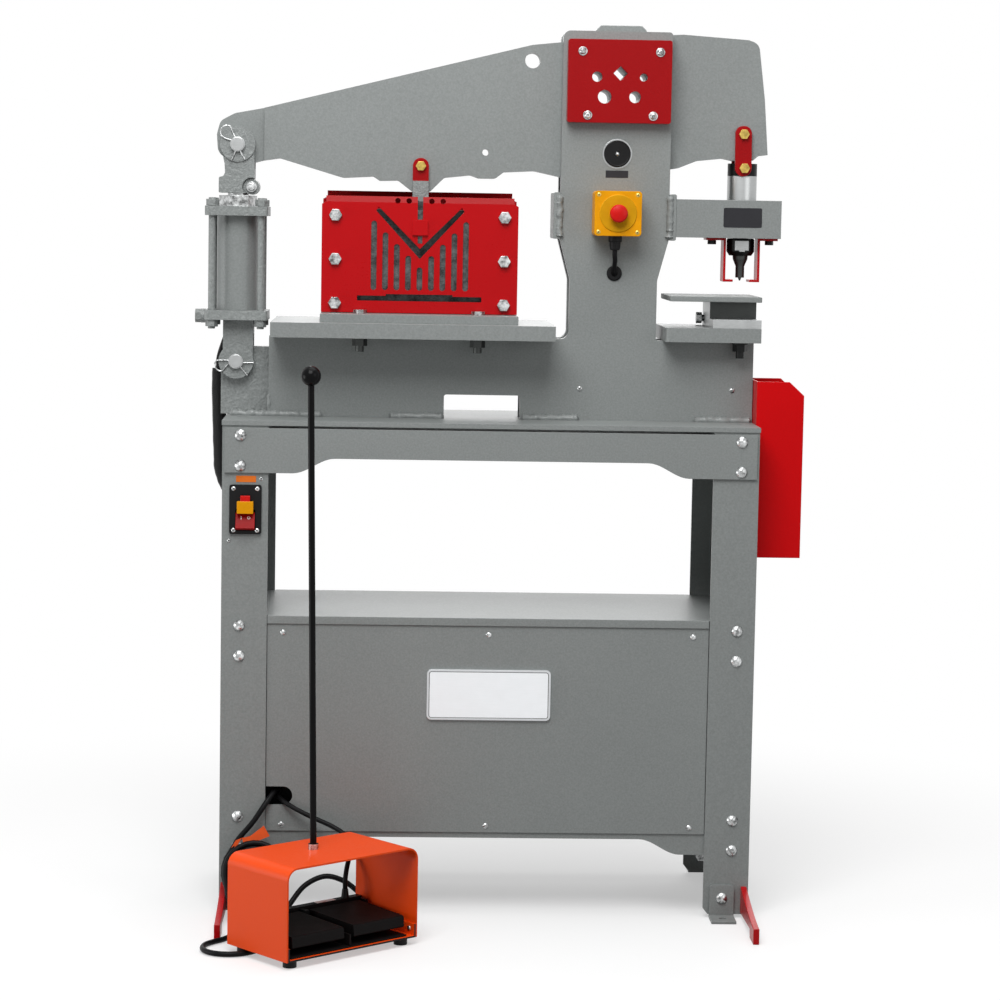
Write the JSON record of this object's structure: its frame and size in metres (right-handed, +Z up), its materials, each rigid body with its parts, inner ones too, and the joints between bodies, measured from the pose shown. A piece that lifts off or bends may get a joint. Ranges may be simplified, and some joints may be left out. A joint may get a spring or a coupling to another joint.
{
  "type": "hydraulic ironworker",
  "caption": "Floor-standing hydraulic ironworker: a lever beam worked by a cylinder drives a slotted shear, a rod shear and a punch, on a steel stand with a corded foot switch.",
  "frame": {"origin": "centre of the rectangle of four floor-anchor holes, at floor level", "axes": "+X to the operator's right along the machine, +Y away from the operator, +Z up"},
  "size_m": [1.029, 0.738, 1.494],
  "materials": {
    "grey_paint": "semi-gloss hammered grey paint",
    "red_paint": "gloss red powder coat",
    "bright_steel": "ground steel",
    "zinc": "zinc plate",
    "dark_steel": "black oxide",
    "black_plastic": "moulded black",
    "rubber": "black cable rubber",
    "yellow_plastic": "moulded yellow",
    "red_plastic": "moulded red",
    "orange_paint": "gloss orange powder coat"
  },
  "bodies": {
    "frame": {"stand_leg_left": "grey_paint", "stand_leg_right": "grey_paint", "stand_rails": "grey_paint", "cabinet_top": "grey_paint", "cabinet_panels": "grey_paint", "stand_fasteners": "zinc", "floor_clips": "grey_paint", "outriggers": "red_paint", "tool_bin": "red_paint", "base_plate": "grey_paint", "frame_plate_front": "grey_paint", "frame_plate_rear": "grey_paint", "frame_spacers": "grey_paint", "cylinder_lug": "grey_paint", "main_pivot_pin": "bright_steel", "grease_cap": "black_plastic", "shear_table": "grey_paint", "table_bolts": "dark_steel", "shear_base_plate": "grey_paint", "shear_cheeks": "grey_paint", "fixed_blade": "bright_steel", "shear_guard_front": "red_paint", "shear_guard_rear": "red_paint", "guard_bolts": "zinc", "punch_arm": "grey_paint", "strippers": "red_paint", "die_bed": "grey_paint", "die_holder": "grey_paint", "die": "dark_steel", "punch_table": "grey_paint", "rod_shear_guard": "red_paint", "estop_box": "yellow_plastic", "estop_cable": "rubber", "switch_plate": "black_plastic", "oil_tank": "dark_steel", "pump_motor": "dark_steel", "hose_sleeve": "rubber", "foot_guard": "orange_paint", "foot_base": "orange_paint", "carry_rod": "black_plastic", "foot_cord": "rubber", "power_cord": "rubber", "power_coil": "rubber", "power_plug": "rubber"},
    "lever": {"beam": "grey_paint"},
    "cylinder": {"cylinder_barrel": "grey_paint", "cylinder_caps": "grey_paint"},
    "rod": {"piston_rod": "bright_steel", "rod_clevis": "grey_paint", "clevis_pin": "bright_steel"},
    "ram": {"punch_ram": "bright_steel", "punch": "dark_steel"},
    "punch_link": {"punch_links": "red_paint"},
    "blade": {"moving_blade": "bright_steel"},
    "estop_knob": {"estop_button": "red_plastic"},
    "paddle": {"switch_paddle": "red_plastic"},
    "key": {"switch_key": "yellow_plastic"},
    "pedal_left": {"foot_pedal_left": "black_plastic"},
    "pedal_right": {"foot_pedal_right": "black_plastic"},
    "rotor": {"motor_rotor": "bright_steel"}
  },
  "joints": [
    {"name": "beam_pivot", "type": "hinge", "parent": "frame", "child": "lever", "pos_m": [0.207, 0, 1.279], "axis": [0, 1, 0], "range_deg": [0, 9]},
    {"name": "cylinder_swing", "type": "hinge", "parent": "frame", "child": "cylinder", "pos_m": [-0.431, 0, 0.9195], "axis": [0, 1, 0], "range_deg": [0, 0.95]},
    {"name": "rod_stroke", "type": "slide", "parent": "cylinder", "child": "rod", "axis": [0, 0, 1], "range_m": [0, 0.1]},
    {"name": "ram_stroke", "type": "slide", "parent": "frame", "child": "ram", "axis": [0, 0, -1], "range_m": [0, 0.0345]},
    {"name": "punch_link_swing", "type": "hinge", "parent": "ram", "child": "punch_link", "pos_m": [0.424, 0, 1.259], "axis": [0, 1, 0], "range_deg": [0, 3.6]},
    {"name": "shear_stroke", "type": "slide", "parent": "frame", "child": "blade", "axis": [0, 0, 1], "range_m": [0, 0.0525]},
    {"name": "estop_push", "type": "slide", "parent": "frame", "child": "estop_knob", "axis": [0, 1, 0], "range_m": [0, 0.005], "stiffness_N_per_m": 400},
    {"name": "switch_paddle_press", "type": "hinge", "parent": "frame", "child": "paddle", "pos_m": [-0.406, -0.159, 0.676], "axis": [1, 0, 0], "range_deg": [0, 8], "stiffness_Nm_per_rad": 0.3},
    {"name": "switch_key_pull", "type": "slide", "parent": "frame", "child": "key", "axis": [0, -1, 0], "range_m": [0, 0.025]},
    {"name": "pedal_left_press", "type": "hinge", "parent": "frame", "child": "pedal_left", "pos_m": [-0.39771, -0.43201, 0.046], "axis": [0.766, 0.6428, 0], "range_deg": [0, 5.5], "stiffness_Nm_per_rad": 6, "springref_deg": -5.73},
    {"name": "pedal_right_press", "type": "hinge", "parent": "frame", "child": "pedal_right", "pos_m": [-0.39771, -0.43201, 0.046], "axis": [0.766, 0.6428, 0], "range_deg": [0, 5.5], "stiffness_Nm_per_rad": 6, "springref_deg": -5.73},
    {"name": "motor_spin", "type": "hinge", "parent": "frame", "child": "rotor", "pos_m": [0.08, 0, 0.383], "axis": [1, 0, 0], "continuous": true}
  ],
  "couplings": [
    {"joint": "cylinder_swing", "follows": "beam_pivot", "ratio": 0.1042},
    {"joint": "rod_stroke", "follows": "beam_pivot", "m_per_rad": 0.6353},
    {"joint": "ram_stroke", "follows": "beam_pivot", "m_per_rad": 0.2171},
    {"joint": "punch_link_swing", "follows": "beam_pivot", "ratio": 0.392},
    {"joint": "shear_stroke", "follows": "beam_pivot", "m_per_rad": 0.3304}
  ]
}
